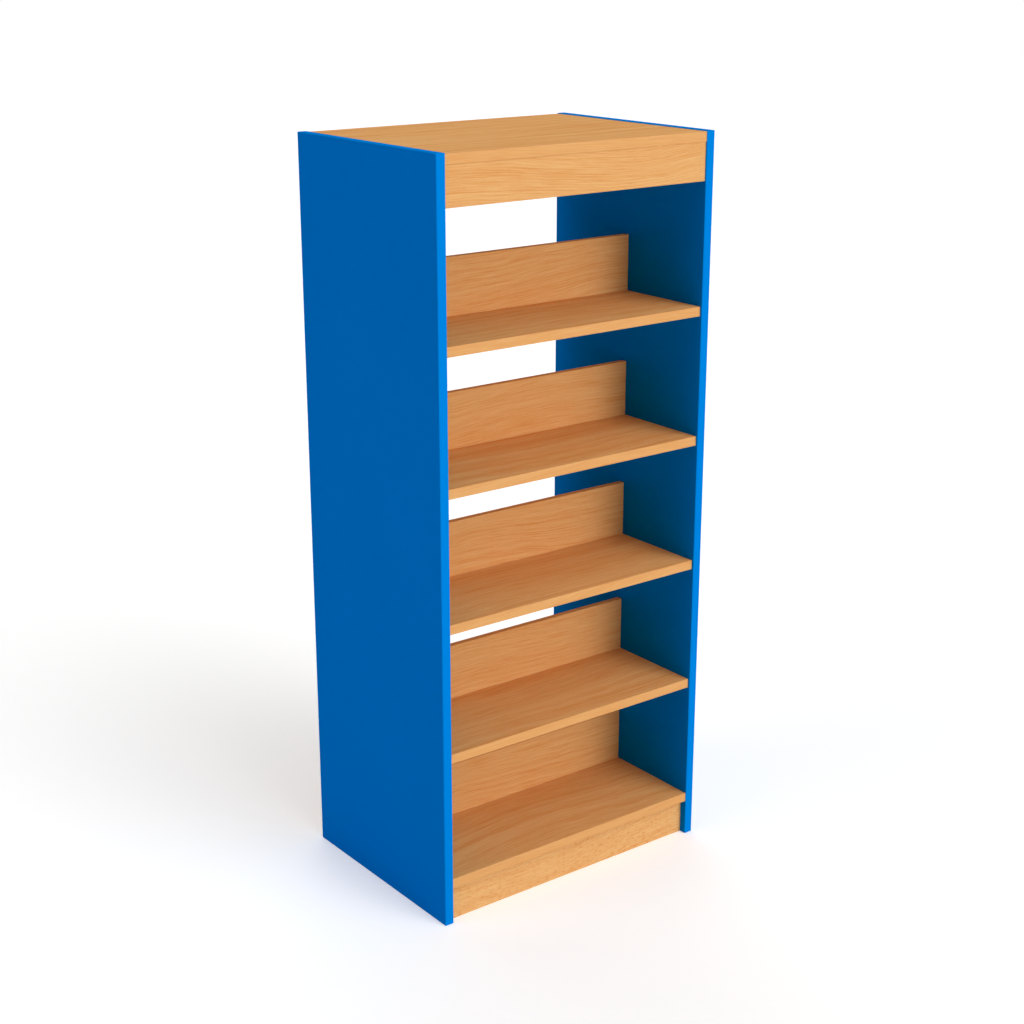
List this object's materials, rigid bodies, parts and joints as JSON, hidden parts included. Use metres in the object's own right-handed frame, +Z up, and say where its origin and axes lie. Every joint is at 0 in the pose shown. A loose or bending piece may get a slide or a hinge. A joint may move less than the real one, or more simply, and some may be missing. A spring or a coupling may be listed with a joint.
{
  "type": "double sided library shelving unit",
  "caption": "Tall double sided library bookcase with blue end panels, beech boards, loose shelves that lift off pegs, a low book stop along the middle of each level, a fascia and a plinth.",
  "frame": {"origin": "on the floor at the centre of the unit", "axes": "+X along the width from left to right seen from the front, -Y out of the front, +Z up"},
  "size_m": [0.85, 0.6, 1.95],
  "materials": {
    "blue_board": "blue melamine faced board with matching lipping, satin",
    "beech_board": "beech melamine faced board with matching lipping, satin",
    "steel": "bright zinc plate",
    "zinc": "die cast zinc, dull"
  },
  "bodies": {
    "carcass": {"end_panel_left": "blue_board", "end_panel_right": "blue_board", "base_panel": "beech_board", "base_stop": "beech_board", "plinth_front": "beech_board", "plinth_rear": "beech_board", "top_panel": "beech_board", "fascia_front": "beech_board", "fascia_rear": "beech_board", "cam_base_left_front": "zinc", "cam_base_left_rear": "zinc", "cam_base_right_front": "zinc", "cam_base_right_rear": "zinc", "cam_top_left_front": "zinc", "cam_top_left_rear": "zinc", "cam_top_right_front": "zinc", "cam_top_right_rear": "zinc", "cam_bolt_base_left_front": "steel", "cam_bolt_base_left_rear": "steel", "cam_bolt_base_right_front": "steel", "cam_bolt_base_right_rear": "steel", "cam_bolt_top_left_front": "steel", "cam_bolt_top_left_rear": "steel", "cam_bolt_top_right_front": "steel", "cam_bolt_top_right_rear": "steel", "base_stop_screw_left": "steel", "base_stop_screw_right": "steel", "shelf_peg_1_left_front": "steel", "shelf_peg_1_left_rear": "steel", "shelf_peg_1_right_front": "steel", "shelf_peg_1_right_rear": "steel", "shelf_peg_2_left_front": "steel", "shelf_peg_2_left_rear": "steel", "shelf_peg_2_right_front": "steel", "shelf_peg_2_right_rear": "steel", "shelf_peg_3_left_front": "steel", "shelf_peg_3_left_rear": "steel", "shelf_peg_3_right_front": "steel", "shelf_peg_3_right_rear": "steel", "shelf_peg_4_left_front": "steel", "shelf_peg_4_left_rear": "steel", "shelf_peg_4_right_front": "steel", "shelf_peg_4_right_rear": "steel"},
    "shelf_unit_1": {"shelf_1": "beech_board", "shelf_stop_1": "beech_board", "shelf_stop_1_screw_left": "steel", "shelf_stop_1_screw_right": "steel"},
    "shelf_unit_2": {"shelf_2": "beech_board", "shelf_stop_2": "beech_board", "shelf_stop_2_screw_left": "steel", "shelf_stop_2_screw_right": "steel"},
    "shelf_unit_3": {"shelf_3": "beech_board", "shelf_stop_3": "beech_board", "shelf_stop_3_screw_left": "steel", "shelf_stop_3_screw_right": "steel"},
    "shelf_unit_4": {"shelf_4": "beech_board", "shelf_stop_4": "beech_board", "shelf_stop_4_screw_left": "steel", "shelf_stop_4_screw_right": "steel"}
  },
  "joints": [
    {"name": "shelf_1_lift", "type": "slide", "parent": "carcass", "child": "shelf_unit_1", "axis": [0, 0, 1], "range_m": [0, 0.165]},
    {"name": "shelf_2_lift", "type": "slide", "parent": "carcass", "child": "shelf_unit_2", "axis": [0, 0, 1], "range_m": [0, 0.165]},
    {"name": "shelf_3_lift", "type": "slide", "parent": "carcass", "child": "shelf_unit_3", "axis": [0, 0, 1], "range_m": [0, 0.165]},
    {"name": "shelf_4_lift", "type": "slide", "parent": "carcass", "child": "shelf_unit_4", "axis": [0, 0, 1], "range_m": [0, 0.26]}
  ]
}
